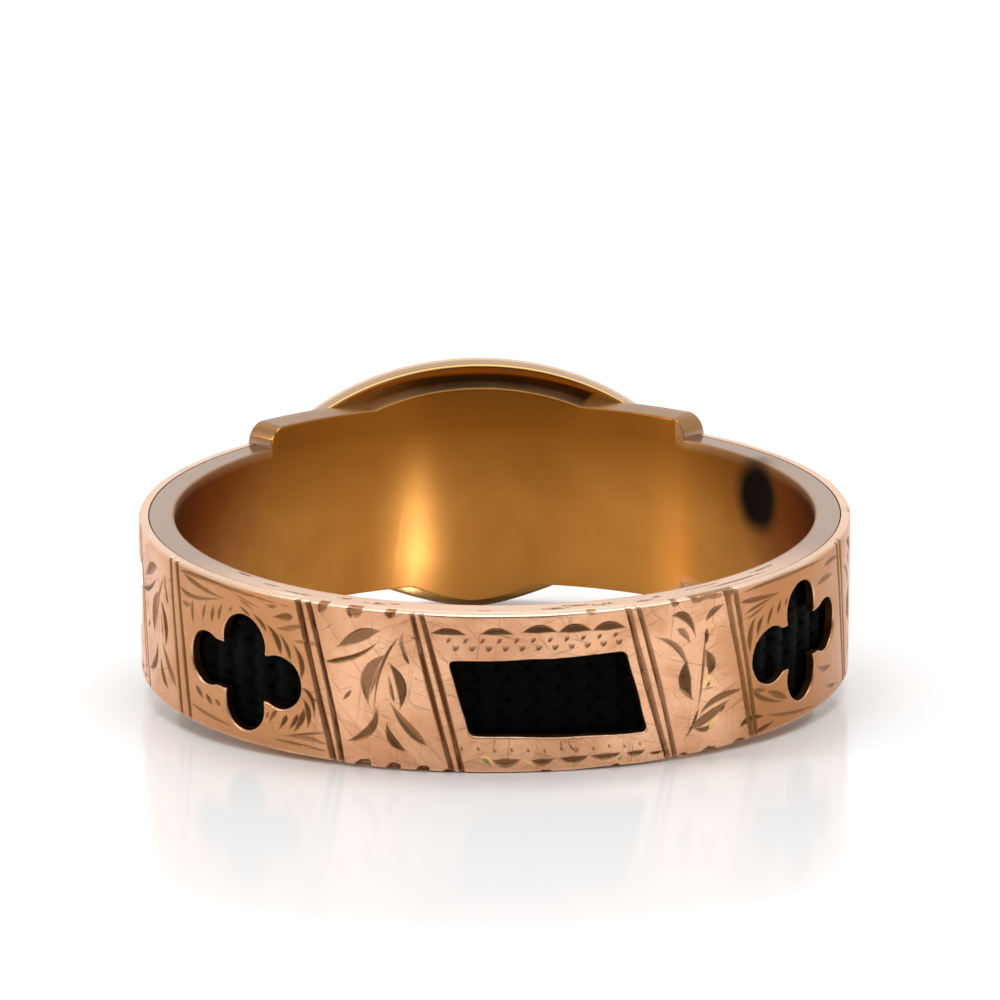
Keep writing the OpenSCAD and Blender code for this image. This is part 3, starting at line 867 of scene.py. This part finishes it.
# Section with rounded corners: each corner (radius, height, rounding, number of points) becomes an
# arc that touches both of its sides and stays clear of the next corners. One point is a sharp one.
def roundedSection(corners):
    c = np.array(corners, float)
    points = []
    for p, q, s in zip(c, np.roll(c, 1, 0), np.roll(c, -1, 0)):
        if p[3] == 1:
            points.append(p[None, :2])
            continue
        toBack, toFront = q[:2] - p[:2], s[:2] - p[:2]
        back, front = np.linalg.norm(toBack), np.linalg.norm(toFront)
        room = min(p[2], back / 2.2, front / 2.2)
        start = p[:2] + toBack / max(back, 1e-9) * room
        end = p[:2] + toFront / max(front, 1e-9) * room
        t = np.linspace(0, 1, int(p[3]))[:, None]
        points.append((1 - t) ** 2 * start + 2 * t * (1 - t) * p[:2] + t ** 2 * end)
    return np.concatenate(points)


# Turns a closed mesh the right way out: its volume, summed over its triangles, has to be positive.
def faceOutwards(points, faces):
    a, b, c = points[faces[:, 0]], points[faces[:, 1]], points[faces[:, 2]]
    volume = np.einsum("ij,ij->i", a, np.cross(b, c)).sum()
    return faces if volume > 0 else faces[:, ::-1]


# Marks on the rim near the camera: along, radius, length round the ring, width across, depth
rimMarks = [
    (-4.62, 9.62, 0.44, 0.10, 0.03), (-3.6, 9.72, 0.62, 0.12, 0.03), (-3.05, 9.62, 0.5, 0.10, 0.03),
    (-0.3, 9.85, 0.26, 0.10, 0.03), (1.75, 9.78, 0.7, 0.16, 0.04), (2.45, 9.62, 0.8, 0.14, 0.04),
    (3.2, 9.72, 0.66, 0.14, 0.04), (4.5, 9.86, 0.5, 0.10, 0.03), (5.0, 9.70, 0.3, 0.08, 0.02),
    (-7.2, 9.7, 0.6, 0.07, 0.02), (-8.6, 9.5, 0.8, 0.06, 0.02), (6.6, 9.58, 1.6, 0.035, 0.015),
    (7.9, 9.80, 2.2, 0.035, 0.015), (9.3, 9.60, 1.2, 0.035, 0.015), (-6.1, 9.86, 1.1, 0.03, 0.015),
]
deepestMark = 0.04


# How strongly the marks show at each point: half an ellipse for each, with a ragged outline.
def rimMarkShare(along, radius):
    total = np.zeros(np.broadcast(along, radius).shape)
    ragged = 0.5 * waves(along, radius, 0.22, 61)
    for place, level, length, width, depth in rimMarks:
        a, r = (along - place) / (length / 2), (radius - level) / (width / 2)
        mark = np.clip(1.2 - a * a - r * r + ragged, 0, 1)
        total = np.maximum(total, depth / deepestMark * mark)
    return total


# Outline of the shield at each share of its way round from the right end of its widest place:
# half an oval over the top, then on each side a cubic curve drawn in to the foot.
def shieldOutline(share):
    half, rise, drop, foot = head["length"] / 2, head["rise"], head["drop"], head["footHalf"]
    pullX, pullZ = head["sidePull"]
    angle = 2 * math.pi * share
    s = np.clip(np.where(share < 0.75, share * 4 - 2, 4 - share * 4), 0, 1)
    near, far = 3 * s * (1 - s) ** 2, 3 * s * s * (1 - s)
    sideX = (1 - s) ** 3 * half + near * pullX * half + far * foot
    sideZ = -drop * (near * pullZ + far + s ** 3)
    x = np.where(share <= 0.5, half * np.cos(angle), np.where(share < 0.75, -sideX, sideX))
    z = np.where(share <= 0.5, rise * np.sin(angle), sideZ)
    turn = math.radians(head["turn"])
    return np.stack([x * math.cos(turn) - z * math.sin(turn),
                     x * math.sin(turn) + z * math.cos(turn)], -1)


# Outline of the shield drawn in along its normals, as rows of (x, z).
def insetOutline(count, inset):
    outline = shieldOutline(np.arange(count) / count)
    ahead = np.roll(outline, -1, 0) - np.roll(outline, 1, 0)
    inward = np.stack([-ahead[:, 1], ahead[:, 0]], -1) / np.linalg.norm(ahead, axis=1)[:, None]
    return outline + inset * inward


body = {
    "boreRound": 0.10,      # rounding between the bore and the rims, as far as there is room
    "seatRound": 0.07,      # rounding of the seat's outer edges
    "stepRound": 0.02,      # rounding of the step that carries the shell, and of the channel's floor
    "floorRound": 0.04,
    "faceRound": 0.01,      # rounding at the places on the seat's face that answer those steps
    "boreRows": 9, "boreMargin": 0.35, "boreEase": 0.02,  # rows of points, and their roundings
    "rimRows": 9, "rimMargin": (0.16, 0.05), "rimEase": 0.01,
    "arcPoints": 4,
    "sleeveSections": 901, "seatSections": 321,  # the quick ones are about a quarter of these
    "quickSleeveSections": 241, "quickSeatSections": 81, "quickRimRows": 4,
    "outlineRadius": 9.9,   # where the seat is compared with the shield's outline
    "outlineCount": 720,
    "ripple": 0.008,        # slow waves that wear leaves in the bore
    "markDepth": 0.03, "markStrength": 1.7, "markReach": 11,
    "wearReach": 0.11, "wearHeight": 0.09, "wearAlong": 26,
    "mergeGrid": 1e-5,      # points that fall on the same place of this fine grid become one
}


# Half heights of the seat at angles round the ring: its own rounded rectangle, or the shield's
# outline drawn in where that stands further out.
def seatEdges(angles, fromEnd):
    half, full = band["halfWidth"], head["seatHalf"]
    corner = np.clip(1 - fromEnd / head["seatCorner"], 0, 1)
    reach = half + (full - half) * np.sqrt(1 - corner ** 2)
    count = body["outlineCount"]
    inset = insetOutline(count, head["seatInset"])
    upper, lower = inset[:count // 2 + 1][::-1], inset[count // 2:]
    x = body["outlineRadius"] * np.cos(angles)
    nowhere = 9
    up = np.maximum(reach, np.interp(x, upper[:, 0], upper[:, 1], -nowhere, -nowhere))
    down = np.minimum(-reach, np.interp(x, lower[:, 0], lower[:, 1], nowhere, nowhere))
    return up, down


# Sleeve and seat in one: a section carried all round the ring. Both sections have the same number
# of points, so at each end of the seat one turns into the other within the plane of that end.
def makeBody():
    b, s, f, r = band["boreRadius"], band["sleeveOuter"], band["channelFloor"], band["outerRadius"]
    w, c = band["halfWidth"], band["channelHalf"]
    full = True
    step, floor, face = body["stepRound"], body["floorRound"], body["faceRound"]
    rounded, arc = body["seatRound"], body["arcPoints"]
    boreRows = np.linspace(w - body["boreMargin"], body["boreMargin"] - w, body["boreRows"])
    inner, outer = body["rimMargin"]
    rimRows = np.linspace(b + inner, s - outer, body["rimRows" if full else "quickRimRows"])

    # Section from its low edge to its high one: bore, low rim, what lies outside, and high rim,
    # which has its points in pairs because it carries the marks.
    def section(low, high, outside):
        return roundedSection([
            (b, low, body["boreRound"], arc), *[(q, low, 0, 1) for q in rimRows],
            *[(*corner, arc) for corner in outside],
            *[(q, high, body["rimEase"], 2) for q in rimRows[::-1]],
            (b, high, body["boreRound"], arc), *[(b, z, body["boreEase"], 2) for z in boreRows]])

    sleeve = section(-w, w, [(s, -w, step), (s, -c, step), (f, -c, floor),
                             (f, c, floor), (s, c, step), (s, w, step)])
    half = math.radians(head["seatHalfAngle"])
    share = np.linspace(-1, 1, body["seatSections" if full else "quickSeatSections"])
    seatAngles = math.pi / 2 + half * np.sign(share) * (1 - (1 - np.abs(share)) ** 1.5)
    up, down = seatEdges(seatAngles, (half - np.abs(seatAngles - math.pi / 2)) * b)
    seat = np.array([section(low, high, [(r, low, rounded), (r, -w, face), (r, -c, face),
                                         (r, c, face), (r, w, face), (r, high, rounded)])
                     for low, high in zip(down, up)])
    # The seat's straight rim edge gets a point where the sleeve's rounding starts on it
    outsideStart = arc + len(rimRows)
    outsideEnd = outsideStart + 6 * arc - 1
    seat[[0, 0, -1, -1], [outsideStart, outsideEnd] * 2] = sleeve[[outsideStart, outsideEnd] * 2]
    sleeveAngles = np.linspace(math.pi / 2 + half, math.pi * 5 / 2 - half,
                               body["sleeveSections" if full else "quickSleeveSections"])
    angles = np.concatenate([sleeveAngles, seatAngles + 2 * math.pi])
    sections = np.concatenate([np.repeat(sleeve[None], len(sleeveAngles), 0), seat])
    along = (angles - math.radians(270 - band["viewTurn"])) * band["outerRadius"]
    along = np.repeat(along[:, None], sections.shape[1], 1)
    radius, height = sections[..., 0], sections[..., 1]
    boreX, boreY = b * np.cos(angles)[:, None], b * np.sin(angles)[:, None]
    ripple = body["ripple"] * (1 + waves(boreX + 0 * radius, boreY + height, 5.0, 31)) / 2
    radius = radius + (radius < b + 0.02) * ripple
    onTop = (height > w - 0.02) & (radius > b + 0.12) & (np.abs(along) < body["markReach"])
    marks = np.minimum(body["markStrength"] * rimMarkShare(along, radius), 1) * onTop
    height = height - body["markDepth"] * marks
    count, size = radius.shape
    points = np.stack([radius * np.cos(angles)[:, None], radius * np.sin(angles)[:, None],
                       height], -1).reshape(-1, 3)
    corner = np.arange(count * size).reshape(count, size)
    onward, beside = np.roll(corner, -1, 0), np.roll(corner, -1, 1)
    faces = np.stack([corner, onward, np.roll(beside, -1, 0), beside], -1).reshape(-1, 4)
    faces = np.concatenate([faces[:, [0, 1, 2]], faces[:, [0, 2, 3]]])
    edge = np.clip(1 - np.abs(radius - b) / body["wearReach"], 0, 1)
    edge = edge * (np.abs(height) > w - body["wearHeight"]) * (np.abs(along) < body["wearAlong"])
    cut = np.stack([marks, 0 * marks + 1.0, edge * 0.5], -1).reshape(-1, 3)
    # Where the two sections meet, points that fall together become one, so the mesh closes
    grid = np.round(points / body["mergeGrid"]).astype(np.int64)
    _, first, which = np.unique(grid, axis=0, return_index=True, return_inverse=True)
    points, cut = points[first], cut[first]
    faces = faceOutwards(points, unfolded(which.ravel()[faces]))
    addPiece("sleeve_and_seat", points, faces, points[:, [0, 2, 1]], cut, bodyGold,
             "ring_body", 35)


# Shield: rows of (inset, share, radius) from the middle of its back over the edges to the middle
# of its face. Each row is the outline, drawn in by the inset and then shrunk to the share.
def makeShield():
    root, face, e, f = head["rootRadius"], head["faceRadius"], head["backEdge"], head["faceEdge"]
    quarter = np.linspace(0, math.pi / 2, 7)
    shares = np.linspace(0, 1, 26)[1:-1]
    rows = [(e, share, root) for share in shares]
    rows += [(e * (1 - math.sin(a)), 1, root + e * (1 - math.cos(a))) for a in quarter]
    rows += [(0, 1, root + e + (face - f - root - e) * t) for t in (0.25, 0.5, 0.75)]
    rows += [(f * (1 - math.cos(a)), 1, face - f + f * math.sin(a)) for a in quarter]
    rows += [(f, share, face) for share in shares[::-1]]
    rows = np.array(rows)
    count = 480
    outline = shieldOutline(np.arange(count) / count)
    inward = insetOutline(count, 1.0) - outline
    place = (outline[None] + rows[:, 0, None, None] * inward[None]) * rows[:, 1, None, None]
    x, z = place[..., 0], place[..., 1]
    radius = rows[:, 2, None] + 0 * x
    radius = radius + 0.012 * waves(x, z, 3.0, 41) * (rows[:, 2, None] > face - 0.01)
    y = np.sqrt(radius ** 2 - x ** 2)
    n = x.size
    points = np.concatenate([np.stack([x, y, z], -1).reshape(-1, 3), [[0, root, 0], [0, face, 0]]])
    corner = np.arange(n).reshape(x.shape)
    onward = np.roll(corner, -1, 1)
    a, b, c, d = (q.ravel() for q in (corner[:-1], onward[:-1], onward[1:], corner[1:]))
    faces = np.concatenate([np.stack([a, b, c], 1), np.stack([a, c, d], 1),
                            np.stack([np.full(count, n), onward[0], corner[0]], 1),
                            np.stack([np.full(count, n + 1), corner[-1], onward[-1]], 1)])
    rounded = (rows[:, 0] < e * 0.7) & (rows[:, 1] == 1) & (rows[:, 2] < root + e)
    wearAndSheen = np.concatenate([(0.5 * rounded[:, None] + 0 * x).ravel(), [0, 0]])
    cut = np.stack([0 * wearAndSheen, 0 * wearAndSheen, wearAndSheen], -1)
    addPiece("shield", points, faceOutwards(points, faces), points[:, [0, 2, 1]], cut, shieldGold,
             "ring_body", 40)


# Hair laid in the channel: a strip whose outer face is woven of two families of slanting strands.
# A strand's section is a half circle, and it rises and sinks as a sine where it crosses the others.
hair = {"strandWidth": 0.52, "slope": 0.62, "swell": 0.13, "sink": 0.07, "top": 10.0,
        "floor": 9.705, "cell": 0.055}


def makeHairPiece():
    ends = alongAt(90 + shellEnd + 0.3), alongAt(450 - shellEnd - 0.3)
    halfHeight = band["channelHalf"] - band["fitGap"]
    cell = hair["cell"] * coarse
    columns, rows = round((ends[1] - ends[0]) / cell), round(2 * halfHeight / cell)
    u, v = np.meshgrid(np.linspace(*ends, columns + 1), np.linspace(-1, 1, rows + 1) * halfHeight,
                       indexing="ij")
    column, row = (x.ravel() for x in np.indices(u.shape))
    along, height = u.ravel(), v.ravel()
    levels, sides, lengths = [], [], []
    for family, sign in enumerate((1, -1)):
        turn = sign * hair["slope"]
        across = (-along * math.sin(turn) + height * math.cos(turn)) / hair["strandWidth"]
        onward = (along * math.cos(turn) + height * math.sin(turn)) / hair["strandWidth"]
        strand = np.floor(across)
        side = (across - strand) * 2 - 1
        other = (-along * math.sin(-turn) + height * math.cos(-turn)) / hair["strandWidth"]
        over = np.cos(math.pi * (other + strand + family))
        bulge = np.sqrt(np.clip(1 - side ** 2, 0, 1))
        levels.append(hair["swell"] * bulge + hair["sink"] * over)
        sides.append(across + 40 * family)
        lengths.append(onward)
    upper = levels[0] > levels[1]
    radius = hair["top"] - (hair["swell"] + hair["sink"]) + np.where(upper, *levels)
    radius -= 0.05 * np.clip(1 - (halfHeight - np.abs(height)) / 0.12, 0, 1)
    radius -= 0.015 * (1 + waves(along, height, 0.7, 51))
    radius = np.clip(radius, hair["floor"] + 0.03, hair["top"])
    allFaces = closeShell(gridTriangles(columns, rows), column, row, rows)
    points = np.concatenate([aroundRing(along, height, level)
                             for level in (radius, np.full(len(along), hair["floor"]))])
    flat = np.stack([np.where(upper, *lengths), np.where(upper, *sides), 0 * along], 1)
    flat = np.concatenate([flat, flat])
    kept, allFaces = np.unique(allFaces, return_inverse=True)
    addPiece("woven_hair", points[kept], allFaces.reshape(-1, 3), flat[kept],
             np.zeros((len(kept), 3)), hairMaterial, "hair_plait", 60)


makeBody()
makeShield()
makeHairPiece()
print("head and hair made")


# Floor, light and camera

stage = {
    "floorSize": 0.9, "floorColor": (0.86, 0.86, 0.86), "floorRoughness": 0.14, "floorGloss": 0.5,
    "above": 1.1, "far": 1.25, "near": 0.72, "level": 0.80,  # brightness of the room
    "shadePlace": (-0.067, -0.95, 0.24), "shadeSize": (0.46, 0.5, 0.55), "shade": 0.02,
}


def makeFloor():
    half = stage["floorSize"] / 2
    mesh = bpy.data.meshes.new("floor")
    corners = [(-half, -half, 0), (half, -half, 0), (half, half, 0), (-half, half, 0)]
    mesh.from_pydata(corners, [], [(0, 1, 2, 3)])
    material, tree, shader = newMaterial("floor")
    for label, value in (("Base Color", (*stage["floorColor"], 1)),
                         ("Roughness", stage["floorRoughness"]),
                         ("Specular IOR Level", stage["floorGloss"])):
        feed(tree, shader.inputs[label], value)
    mesh.materials.append(material)
    floor = bpy.data.objects.new("floor", mesh)
    bpy.context.scene.collection.objects.link(floor)


# Lamp that is turned to its target, with further settings of its own kind.
def makeLamp(name, kind, place, target, power, color=(1, 1, 1), **settings):
    light = bpy.data.lights.new(name, kind)
    light.energy = power
    light.color = color
    for key, value in settings.items():
        setattr(light, key, value)
    lamp = bpy.data.objects.new(name, light)
    lamp.location = place
    direction = Vector(target) - Vector(place)
    lamp.rotation_euler = direction.to_track_quat("-Z", "Y").to_euler()
    bpy.context.scene.collection.objects.link(lamp)


softboxes = [  # name, place, size, power
    ("softboxAbove", (0.0, 0.02, 0.40), (0.30, 0.30), 0.92),
    ("lampLeft", (-0.33, -0.07, 0.22), (0.05, 0.12), 0.2),
]
glintLamps = [  # name, place, target, power, color
    ("glintRight", (0.123, -0.252, 0.11), (-0.0021, 0.0091, 0.0014), 8.0, (0.62, 0.68, 1.0)),
    ("glintLeft", (-0.27, -0.05, 0.11), (0.0058, 0.0072, 0.0018), 1.0, (1.0, 0.6, 0.5)),
]
glintRadius, glintReach = 0.002, 0.0024  # of the narrow lamp, and of the patch that it lights


def makeLamps():
    for name, place, (width, length), power in softboxes:
        makeLamp(name, "AREA", place, (0, 0, 0), power, shape="RECTANGLE", size=width,
                 size_y=length)
    for name, place, target, power, color in glintLamps:
        cone = 2 * math.atan(glintReach / (Vector(target) - Vector(place)).length)
        makeLamp(name, "SPOT", place, target, power, color, spot_size=cone, spot_blend=1.0,
                 shadow_soft_size=glintRadius)


# Surroundings: a white room that is dimmer towards the viewer's side, brighter behind the ring, and
# dark in an oval where the viewer stands. The brightness depends on the direction.
def makeWorld():
    world = bpy.data.worlds.new("studio")
    bpy.context.scene.world = world
    world.use_nodes = True
    tree = world.node_tree
    background = tree.nodes["Background"]
    background.inputs["Color"].default_value = (1, 1, 1, 1)
    direction = addNode(tree, "TexCoord").outputs["Generated"]
    parts = partsOf(tree, direction)
    around = mapRange(tree, parts["Y"], -0.7, 0.7, stage["near"], stage["far"], smooth=True)
    high = mapRange(tree, parts["Z"], 0.35, 0.75, smooth=True)
    rise = times(tree, high, mathNode(tree, "SUBTRACT", stage["above"], around))
    bright = times(tree, plus(tree, around, rise), stage["level"])
    distance = ovalDistance(tree, direction, stage["shadePlace"], stage["shadeSize"])
    openShare = mapRange(tree, distance, 0.8, 1.2, stage["shade"], 1.0, smooth=True)
    feed(tree, background.inputs["Strength"], times(tree, bright, openShare))


# The camera looks at the ring's middle from the place that its two rims give, with the frame
# shifted so that the ring stands where the photograph has it. The elevation is that over the plane
# of the ring, in radians, which leans towards the camera.
view = {"distance": 0.17046, "elevation": 0.2997, "roll": -0.0023, "lens": 210.0,
        "shift": (0.0052, 0.084), "sensor": 36, "clip": (0.005, 10)}


def makeCamera():
    camera = bpy.data.cameras.new("camera")
    camera.lens = view["lens"]
    camera.sensor_width = view["sensor"]
    camera.shift_x, camera.shift_y = view["shift"]
    camera.clip_start, camera.clip_end = view["clip"]
    ce, se = math.cos(view["elevation"]), math.sin(view["elevation"])
    cr, sr = math.cos(view["roll"]), math.sin(view["roll"])
    away = Vector((0, -ce, se))
    right, up = Vector((1, 0, 0)), Vector((0, se, ce))
    turned = Matrix((cr * right + sr * up, -sr * right + cr * up, away)).transposed().to_4x4()
    turned.translation = away * view["distance"] * 1000
    placed = layDown @ Matrix.Rotation(-math.radians(band["viewTurn"]), 4, "Z") @ turned
    eye = bpy.data.objects.new("camera", camera)
    place, rotation, _ = placed.decompose()
    eye.location = place * 0.001
    eye.rotation_euler = rotation.to_euler()
    bpy.context.scene.collection.objects.link(eye)
    bpy.context.scene.camera = eye


makeFloor()
makeWorld()
makeLamps()
makeCamera()
bpy.context.scene.view_settings.view_transform = "Standard"
print("floor, light and camera made")
